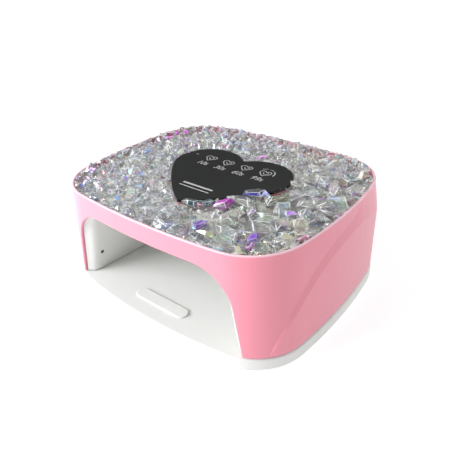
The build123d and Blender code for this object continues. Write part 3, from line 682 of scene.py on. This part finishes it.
def panel_print():
    """Four double hearts with their seconds, an arc round the last, two dots and two plain bars."""
    for x, seconds in zip(ICON_XS, (10, 30, 60, 99)):
        ring = strip_mesh("ring", small_heart(x, ICON_Y, 0.0112), 0.00066, True)
        printed(f"icon_heart_{seconds}", ring)
        inner = small_heart(x + 0.0006, ICON_Y + 0.0002, 0.0050, 24, 0.08, 0.80)
        printed(f"icon_middle_{seconds}", strip_mesh("middle", inner, 0.0006))
        label(f"seconds_{seconds}", f"{seconds}s", x, ICON_Y - 0.0125, 0.0088)
    mode = (ICON_XS[-1], ICON_Y)
    arc_strip("mode_arc", mode, 0.0088, -8, 52, 0.0010)
    arc_strip("mode_arc_middle", mode, 0.0090, 62, 92, 0.0006)
    arc_strip("mode_arc_end", mode, 0.0092, 102, 136, 0.0006)
    dot_x, dot_y, dot_r = -0.048, 0.0235, 0.0005
    for side in (-1, 1):
        x = dot_x + side * 0.001
        dot = [(x + dot_r * math.cos(a), dot_y + dot_r * math.sin(a)) for a in (0, 1.57, 3.14, 4.71)]
        printed(f"remote_dot_{'left' if side < 0 else 'right'}", strip_mesh("dot", dot, 0.0005, True))
    bar_from, bar_to = -0.0180, 0.0140
    printed("plain_bar", strip_mesh("bar", [(bar_from, -0.0290), (bar_to, -0.0290)], 0.0022))
    printed("plain_line", strip_mesh("line", [(bar_from, -0.0340), (bar_to, -0.0340)], 0.0011))


# ---------------------------------------------------------------- scene
LIT_HEIGHT = 0.05
FLOOR_HALF = 6.0


def camera():
    """Looks at the middle of the lamp from the front right and above."""
    azimuth, elevation, roll = (math.radians(a) for a in (40.11, 30.37, -2.655))
    level = math.cos(elevation)
    back = Vector((math.sin(azimuth) * level, -math.cos(azimuth) * level, math.sin(elevation)))
    right = Vector((math.cos(azimuth), math.sin(azimuth), 0))
    up = back.cross(right)
    across = right * math.cos(roll) + up * math.sin(roll)
    above = up * math.cos(roll) - right * math.sin(roll)
    data = bpy.data.cameras.new("camera")
    data.sensor_width = 36
    data.lens = 38.8
    data.shift_x = 0.0034
    data.shift_y = -0.0083
    eye = bpy.data.objects.new("camera", data)
    place = Matrix((across, above, back)).transposed().to_4x4()
    place.translation = Vector((0, 0, 0.0515)) + back * 0.4471
    eye.matrix_world = place
    bpy.context.scene.collection.objects.link(eye)
    bpy.context.scene.camera = eye


def softbox(name, azimuth, elevation, distance, size, power, colour=WHITE):
    """Area light; azimuth 0 stands in front of the hand opening and 90 at its right."""
    azimuth, elevation = math.radians(azimuth), math.radians(elevation)
    level = distance * math.cos(elevation)
    data = bpy.data.lights.new(name, "AREA")
    data.shape = "RECTANGLE"
    data.size, data.size_y = size
    data.energy = power
    data.color = colour
    lamp = bpy.data.objects.new(name, data)
    height = LIT_HEIGHT + distance * math.sin(elevation)
    lamp.location = (level * math.sin(azimuth), -level * math.cos(azimuth), height)
    aim = Vector((0, 0, LIT_HEIGHT)) - lamp.location
    lamp.rotation_euler = aim.to_track_quat("-Z", "Y").to_euler()
    bpy.context.scene.collection.objects.link(lamp)


def sky():
    """Studio world: dim at the horizon, bright overhead."""
    world = bpy.data.worlds.new("studio")
    world.use_nodes = True
    tree = world.node_tree
    place = add(tree, "ShaderNodeTexCoord")
    split = add(tree, "ShaderNodeSeparateXYZ")
    tree.links.new(place.outputs["Generated"], split.inputs[0])
    light = ramp(tree, split.outputs["Z"], 0.15, 0.95, 0.40, 0.95)
    tree.links.new(light, tree.nodes["Background"].inputs["Strength"])
    tree.nodes["Background"].inputs["Color"].default_value = (0.97, 0.985, 1.0, 1)
    bpy.context.scene.world = world


def floor():
    """Pale sweep that gives a little light of its own, so that it stays white to its edge."""
    mesh = bpy.data.meshes.new("floor")
    corners = [(x * FLOOR_HALF, y * FLOOR_HALF, 0) for x, y in ((-1, -1), (1, -1), (1, 1), (-1, 1))]
    mesh.from_pydata(corners, [], [(0, 1, 2, 3)])
    sweep = bpy.data.objects.new("floor", mesh)
    bpy.context.scene.collection.objects.link(sweep)
    material, tree, shader = new_material("floor_paper")
    grain = noise(tree, 90, 4)
    paper = mix_colour(tree, grain.outputs["Fac"], (0.62, 0.62, 0.62), (0.66, 0.66, 0.66))
    tree.links.new(paper, shader.inputs["Base Color"])
    shader.inputs["Roughness"].default_value = 0.9
    shader.inputs["Specular IOR Level"].default_value = 0.1
    place = add(tree, "ShaderNodeTexCoord")
    reach = add(tree, "ShaderNodeVectorMath", operation="LENGTH")
    tree.links.new(place.outputs["Object"], reach.inputs[0])
    glow = ramp(tree, reach.outputs["Value"], 0.59, 1.0, 0.25, 1.2)
    tree.links.new(glow, shader.inputs["Emission Strength"])
    shader.inputs["Emission Color"].default_value = (1, 1, 1, 1)
    sweep.data.materials.append(material)


def studio():
    """Large key light from the front left, with a weak light in front and one behind."""
    bpy.context.scene.view_settings.view_transform = "Standard"
    sky()
    softbox("key", -39, 23, 1.3, (0.8, 0.6), 24.5, (0.95, 0.97, 1.0))
    softbox("front", 14, 16, 1.3, (0.35, 0.5), 1.4)
    softbox("back", 148, 14, 1.2, (0.8, 0.4), 3.6)
    floor()


MATERIALS = {
    "pink_abs": shell_plastic("pink_abs", (0.76, 0.24, 0.31), (0.78, 0.26, 0.33), (0.28, 0.36)),
    "white_abs": moulded(
        "white_abs", (0.71, 0.71, 0.685), (0.74, 0.74, 0.715),
        (0.30, 0.40), 1200, 0.03, 0.1,
    ),
    "black_acrylic": moulded(
        "black_acrylic", (0.008, 0.008, 0.008), (0.013, 0.013, 0.012),
        (0.12, 0.2), 500, 0.01, 0.2,
    ),
    "black_abs": moulded("black_abs", (0.02, 0.02, 0.02), (0.035, 0.035, 0.035), (0.45, 0.6), 900, 0.1),
    "circuit_board": moulded(
        "circuit_board", (0.02, 0.16, 0.07), (0.03, 0.22, 0.10),
        (0.35, 0.5), 400, 0.05,
    ),
    "aluminium_board": moulded(
        "aluminium_board", (0.80, 0.80, 0.78), (0.86, 0.86, 0.84),
        (0.4, 0.5), 400, 0.05,
    ),
    "white_chip": moulded("white_chip", (0.85, 0.84, 0.74), (0.88, 0.87, 0.8), (0.4, 0.5), 700, 0.03),
    "ferrite": moulded("ferrite", (0.05, 0.05, 0.05), (0.09, 0.085, 0.08), (0.5, 0.7), 800, 0.15),
    "adhesive": moulded("adhesive", (0.6, 0.6, 0.57), (0.7, 0.7, 0.66), (0.6, 0.8), 500, 0.1),
    "foot_rubber": moulded(
        "foot_rubber", (0.03, 0.03, 0.03), (0.05, 0.05, 0.05),
        (0.65, 0.85), 900, 0.2,
    ),
    "wire_pvc": moulded("wire_pvc", (0.42, 0.02, 0.02), (0.5, 0.03, 0.03), (0.35, 0.45), 900, 0.03),
    "dark_lens": moulded(
        "dark_lens", (0.015, 0.01, 0.02), (0.03, 0.02, 0.04),
        (0.08, 0.15), 900, 0.0, 0.5,
    ),
    "bright_metal": metal("bright_metal", (0.62, 0.62, 0.63), (0.72, 0.71, 0.70), (0.18, 0.32)),
    "can_aluminium": metal("can_aluminium", (0.60, 0.61, 0.64), (0.70, 0.70, 0.72), (0.25, 0.4)),
    "led_lens": clear("led_lens", (0.90, 0.88, 1.0), (0.02, 0.08), 600),
    "resin_bed": resin_bed(),
    "crystal_clear": crystal_body(),
    "crystal_glint": crystal_glint(),
    "crystal_edge": crystal_edge(),
    "white_print": moulded(
        "white_print", (0.50, 0.50, 0.48), (0.56, 0.56, 0.53),
        (0.4, 0.6), 2500, 0.02,
    ),
}
SLOT_FINISH = {
    "pink_abs": "pink_abs",
    "white_abs": "white_abs",
    "clear_resin": "resin_bed",
    "crystal": "crystal_clear",
    "black_acrylic": "black_acrylic",
    "adhesive": "adhesive",
    "black_abs": "black_abs",
    "circuit_board": "circuit_board",
    "aluminium_board": "aluminium_board",
    "can_aluminium": "can_aluminium",
    "ferrite": "ferrite",
    "led_white": "white_chip",
    "led_chip": "white_chip",
    "led_lens": "led_lens",
    "dark_lens": "dark_lens",
    "foot_rubber": "foot_rubber",
    "wire_pvc": "wire_pvc",
}


def dress_cad_nodes():
    """Every CAD node gets the finish of its material slot; metals share one."""
    for row in frame["record"]["subparts"]:
        node = frame["nodes"][row["node"]]
        finish = MATERIALS[SLOT_FINISH.get(row["material_slot"], "bright_metal")]
        for index in range(len(node.material_slots)):
            node.material_slots[index].material = finish


dress_cad_nodes()
small_crystals()
large_crystals()
panel_print()
camera()
studio()
